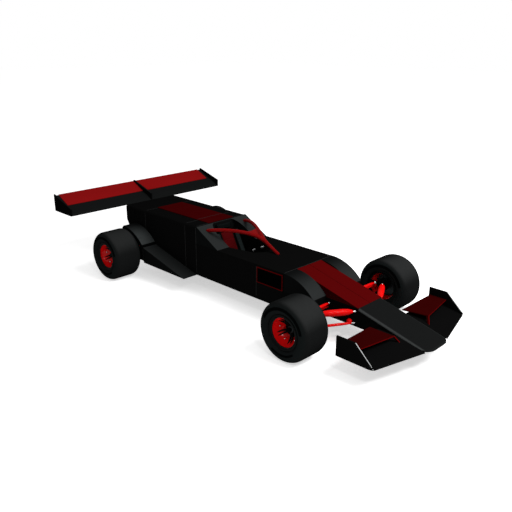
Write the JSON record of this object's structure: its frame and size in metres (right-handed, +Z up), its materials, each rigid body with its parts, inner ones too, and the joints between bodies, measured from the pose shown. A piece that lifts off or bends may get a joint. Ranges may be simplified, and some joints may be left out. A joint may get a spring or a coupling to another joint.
{
  "type": "open wheel racing car",
  "caption": "Single-seat open wheel racing car with a halo, low nose, wide front and rear wings, exposed suspension and wheels that roll and steer.",
  "frame": {"origin": "on the ground, in the middle of the car's length and width", "axes": "+Z up, -Y to the nose, +X to the driver's left"},
  "size_m": [2.5894, 5.1189, 1.0891],
  "materials": {
    "body_black": "satin painted fibre panels",
    "panel_grey": "satin dark grey panels",
    "paint_red": "satin dark red paint",
    "arm_red": "gloss red paint",
    "seat_grey": "woven cover",
    "seat_red": "woven cover",
    "trim_black": "matte",
    "tyre_rubber": "smooth slick tread",
    "rim_red": "gloss paint",
    "metal": "machined"
  },
  "bodies": {
    "chassis": {"floor_tray": "body_black", "front_tub": "body_black", "cockpit_tub": "body_black", "cowl": "panel_grey", "fuel_cell_cover": "body_black", "engine_cover": "body_black", "engine_block": "metal", "tail_fairing": "body_black", "cover_stripe": "paint_red", "halo": "arm_red", "seat_shell": "seat_grey", "seat_pad": "seat_red", "headrest": "seat_grey", "dashboard": "trim_black", "nose_box": "body_black", "nose_top": "paint_red", "nose_tip": "panel_grey", "front_wing_planes": "body_black", "front_wing_flaps": "paint_red", "front_wing_endplates": "body_black", "front_ducts": "body_black", "front_fenders": "panel_grey", "rear_fenders": "panel_grey", "side_ramps": "panel_grey", "number_plates": "paint_red", "rear_wing_plane": "body_black", "rear_wing_flaps": "paint_red", "rear_wing_plates": "body_black", "tow_eye": "arm_red", "front_wishbones_left": "arm_red", "front_wishbones_right": "arm_red", "rear_wishbones_left": "arm_red", "rear_wishbones_right": "arm_red", "rear_uprights": "metal"},
    "hand_wheel": {"steering_wheel": "trim_black"},
    "steering_rack": {"tie_rods": "arm_red"},
    "knuckle_left": {"front_upright_left": "metal"},
    "knuckle_right": {"front_upright_right": "metal"},
    "wheel_front_left": {"tyre_front_left": "tyre_rubber", "rim_front_left": "rim_red"},
    "wheel_front_right": {"tyre_front_right": "tyre_rubber", "rim_front_right": "rim_red"},
    "wheel_rear_left": {"tyre_rear_left": "tyre_rubber", "rim_rear_left": "rim_red"},
    "wheel_rear_right": {"tyre_rear_right": "tyre_rubber", "rim_rear_right": "rim_red"}
  },
  "joints": [
    {"name": "steer_left", "type": "hinge", "parent": "chassis", "child": "knuckle_left", "pos_m": [0.728, -1.395, 0.324], "axis": [0, 0, 1], "range_deg": [-20, 20]},
    {"name": "steer_right", "type": "hinge", "parent": "chassis", "child": "knuckle_right", "pos_m": [-0.728, -1.395, 0.324], "axis": [0, 0, 1], "range_deg": [-20, 20]},
    {"name": "steering_column", "type": "hinge", "parent": "chassis", "child": "hand_wheel", "pos_m": [0, 0.0214, 0.59692], "axis": [0, 0.9397, 0.342], "range_deg": [-180, 180]},
    {"name": "rack_slide", "type": "slide", "parent": "chassis", "child": "steering_rack", "axis": [1, 0, 0], "range_m": [-0.032, 0.032]},
    {"name": "spin_front_left", "type": "hinge", "parent": "knuckle_left", "child": "wheel_front_left", "pos_m": [0.8635, -1.395, 0.324], "axis": [1, 0, 0], "continuous": true},
    {"name": "spin_front_right", "type": "hinge", "parent": "knuckle_right", "child": "wheel_front_right", "pos_m": [-0.8635, -1.395, 0.324], "axis": [1, 0, 0], "continuous": true},
    {"name": "spin_rear_left", "type": "hinge", "parent": "chassis", "child": "wheel_rear_left", "pos_m": [0.8635, 1.803, 0.324], "axis": [1, 0, 0], "continuous": true},
    {"name": "spin_rear_right", "type": "hinge", "parent": "chassis", "child": "wheel_rear_right", "pos_m": [-0.8635, 1.803, 0.324], "axis": [1, 0, 0], "continuous": true}
  ],
  "couplings": [
    {"joint": "steer_right", "follows": "steer_left", "ratio": 1},
    {"joint": "steering_column", "follows": "steer_left", "ratio": 9},
    {"joint": "rack_slide", "follows": "steer_left", "m_per_rad": -0.0882}
  ]
}
